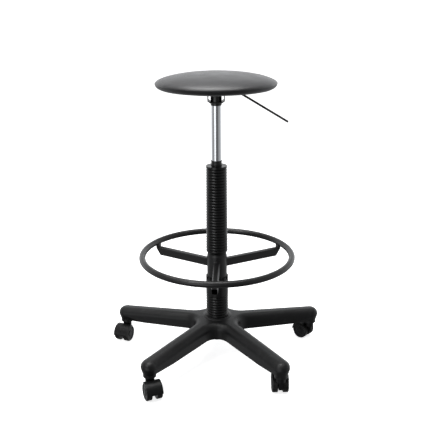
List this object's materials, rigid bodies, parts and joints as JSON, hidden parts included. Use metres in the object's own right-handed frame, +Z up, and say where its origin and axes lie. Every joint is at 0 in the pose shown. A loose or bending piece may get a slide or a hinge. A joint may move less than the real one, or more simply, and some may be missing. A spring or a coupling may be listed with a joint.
{
  "type": "adjustable swivel stool",
  "caption": "Round domed swivel stool on a gas lift with a lever under the seat, a footring round its ribbed column, and a star base on hooded twin-wheel castors.",
  "frame": {"origin": "point on the floor straight below the swivel axis", "axes": "+Z up along the swivel axis, -Y towards the front of the stool, +X towards the release lever"},
  "size_m": [0.6462, 0.6282, 0.8515],
  "materials": {
    "seat_skin": "satin integral-skin polyurethane",
    "plywood": "bare birch plywood",
    "zinc_steel": "zinc plated",
    "black_plate": "black powder coat",
    "lever_black": "black paint",
    "chrome": "polished hard chrome",
    "ground_steel": "ground steel",
    "valve_alloy": "machined",
    "seal_rubber": "nitrile rubber",
    "nylon_bush": "black nylon",
    "sleeve_plastic": "satin black moulded plastic",
    "footring_paint": "satin charcoal powder coat",
    "base_nylon": "fine matte moulded nylon",
    "castor_steel": "bright steel",
    "castor_hood_nylon": "matte moulded nylon",
    "castor_wheel_nylon": "matte moulded nylon"
  },
  "bodies": {
    "base": {"star_base": "base_nylon", "hub_insert_ring": "zinc_steel", "castor_sockets": "zinc_steel", "column_tube": "black_plate", "guide_bush": "nylon_bush", "upper_sleeve": "sleeve_plastic", "lower_sleeve": "sleeve_plastic", "bearing_lower_race": "zinc_steel", "bearing_balls": "zinc_steel"},
    "footring": {"footring": "footring_paint", "footring_hub": "footring_paint", "footring_liner": "nylon_bush", "footring_spokes": "footring_paint"},
    "lift_rod": {"piston_rod": "ground_steel", "piston_head": "valve_alloy", "piston_seal": "seal_rubber", "bearing_upper_race": "zinc_steel", "rubber_bumper": "seal_rubber", "rod_washer": "zinc_steel", "rod_clip": "zinc_steel"},
    "seat": {"lift_cylinder": "chrome", "valve_block": "valve_alloy", "rod_guide": "valve_alloy", "rod_seal": "seal_rubber", "taper_socket": "black_plate", "socket_bridge": "black_plate", "seat_plate": "black_plate", "lever_pin": "zinc_steel", "seat_board": "plywood", "tee_nuts": "zinc_steel", "seat_bolts": "zinc_steel", "bolt_washers": "zinc_steel", "seat_pad": "seat_skin"},
    "release_pin": {"release_pin": "ground_steel"},
    "release_lever": {"release_lever": "lever_black"},
    "castor_1": {"castor_1_hood": "castor_hood_nylon", "castor_1_stem": "castor_steel", "castor_1_axle": "castor_steel"},
    "castor_1_left": {"castor_1_wheel_left": "castor_wheel_nylon"},
    "castor_1_right": {"castor_1_wheel_right": "castor_wheel_nylon"},
    "castor_2": {"castor_2_hood": "castor_hood_nylon", "castor_2_stem": "castor_steel", "castor_2_axle": "castor_steel"},
    "castor_2_left": {"castor_2_wheel_left": "castor_wheel_nylon"},
    "castor_2_right": {"castor_2_wheel_right": "castor_wheel_nylon"},
    "castor_3": {"castor_3_hood": "castor_hood_nylon", "castor_3_stem": "castor_steel", "castor_3_axle": "castor_steel"},
    "castor_3_left": {"castor_3_wheel_left": "castor_wheel_nylon"},
    "castor_3_right": {"castor_3_wheel_right": "castor_wheel_nylon"},
    "castor_4": {"castor_4_hood": "castor_hood_nylon", "castor_4_stem": "castor_steel", "castor_4_axle": "castor_steel"},
    "castor_4_left": {"castor_4_wheel_left": "castor_wheel_nylon"},
    "castor_4_right": {"castor_4_wheel_right": "castor_wheel_nylon"},
    "castor_5": {"castor_5_hood": "castor_hood_nylon", "castor_5_stem": "castor_steel", "castor_5_axle": "castor_steel"},
    "castor_5_left": {"castor_5_wheel_left": "castor_wheel_nylon"},
    "castor_5_right": {"castor_5_wheel_right": "castor_wheel_nylon"}
  },
  "joints": [
    {"name": "footring_turn", "type": "hinge", "parent": "base", "child": "footring", "pos_m": [0, 0, 0.292], "axis": [0, 0, 1], "continuous": true},
    {"name": "seat_swivel", "type": "hinge", "parent": "base", "child": "lift_rod", "pos_m": [0, 0, 0.062], "axis": [0, 0, 1], "continuous": true},
    {"name": "seat_height", "type": "slide", "parent": "lift_rod", "child": "seat", "axis": [0, 0, 1], "range_m": [-0.14, 0]},
    {"name": "lever_lift", "type": "hinge", "parent": "seat", "child": "release_lever", "pos_m": [0.0282, 0, 0.79825], "axis": [0, -1, 0], "range_deg": [0, 6], "stiffness_Nm_per_rad": 6, "springref_deg": -0.57},
    {"name": "button_press", "type": "slide", "parent": "seat", "child": "release_pin", "axis": [0, 0, -1], "range_m": [0, 0.0035]},
    {"name": "castor_1_swivel", "type": "hinge", "parent": "base", "child": "castor_1", "pos_m": [0.00828, 0.30589, 0.0575], "axis": [0, 0, 1], "continuous": true},
    {"name": "castor_1_left_roll", "type": "hinge", "parent": "castor_1", "child": "castor_1_left", "pos_m": [0.00428, 0.28324, 0.025], "axis": [0.9848, -0.1736, 0], "continuous": true},
    {"name": "castor_1_right_roll", "type": "hinge", "parent": "castor_1", "child": "castor_1_right", "pos_m": [0.00428, 0.28324, 0.025], "axis": [0.9848, -0.1736, 0], "continuous": true},
    {"name": "castor_2_swivel", "type": "hinge", "parent": "base", "child": "castor_2", "pos_m": [-0.28836, 0.1024, 0.0575], "axis": [0, 0, 1], "continuous": true},
    {"name": "castor_2_left_roll", "type": "hinge", "parent": "castor_2", "child": "castor_2_left", "pos_m": [-0.29697, 0.08107, 0.025], "axis": [0.9272, -0.3746, 0], "continuous": true},
    {"name": "castor_2_right_roll", "type": "hinge", "parent": "castor_2", "child": "castor_2_right", "pos_m": [-0.29697, 0.08107, 0.025], "axis": [0.9272, -0.3746, 0], "continuous": true},
    {"name": "castor_3_swivel", "type": "hinge", "parent": "base", "child": "castor_3", "pos_m": [-0.18649, -0.2426, 0.0575], "axis": [0, 0, 1], "continuous": true},
    {"name": "castor_3_left_roll", "type": "hinge", "parent": "castor_3", "child": "castor_3_left", "pos_m": [-0.17788, -0.26393, 0.025], "axis": [0.9272, 0.3746, 0], "continuous": true},
    {"name": "castor_3_right_roll", "type": "hinge", "parent": "castor_3", "child": "castor_3_right", "pos_m": [-0.17788, -0.26393, 0.025], "axis": [0.9272, 0.3746, 0], "continuous": true},
    {"name": "castor_4_swivel", "type": "hinge", "parent": "base", "child": "castor_4", "pos_m": [0.1731, -0.25233, 0.0575], "axis": [0, 0, 1], "continuous": true},
    {"name": "castor_4_left_roll", "type": "hinge", "parent": "castor_4", "child": "castor_4_left", "pos_m": [0.1727, -0.22934, 0.025], "axis": [-0.9998, -0.0175, 0], "continuous": true},
    {"name": "castor_4_right_roll", "type": "hinge", "parent": "castor_4", "child": "castor_4_right", "pos_m": [0.1727, -0.22934, 0.025], "axis": [-0.9998, -0.0175, 0], "continuous": true},
    {"name": "castor_5_swivel", "type": "hinge", "parent": "base", "child": "castor_5", "pos_m": [0.29347, 0.08665, 0.0575], "axis": [0, 0, 1], "continuous": true},
    {"name": "castor_5_left_roll", "type": "hinge", "parent": "castor_5", "child": "castor_5_left", "pos_m": [0.27679, 0.10249, 0.025], "axis": [-0.6884, -0.7254, 0], "continuous": true},
    {"name": "castor_5_right_roll", "type": "hinge", "parent": "castor_5", "child": "castor_5_right", "pos_m": [0.27679, 0.10249, 0.025], "axis": [-0.6884, -0.7254, 0], "continuous": true}
  ],
  "couplings": [
    {"joint": "button_press", "follows": "lever_lift", "m_per_rad": 0.0322}
  ]
}
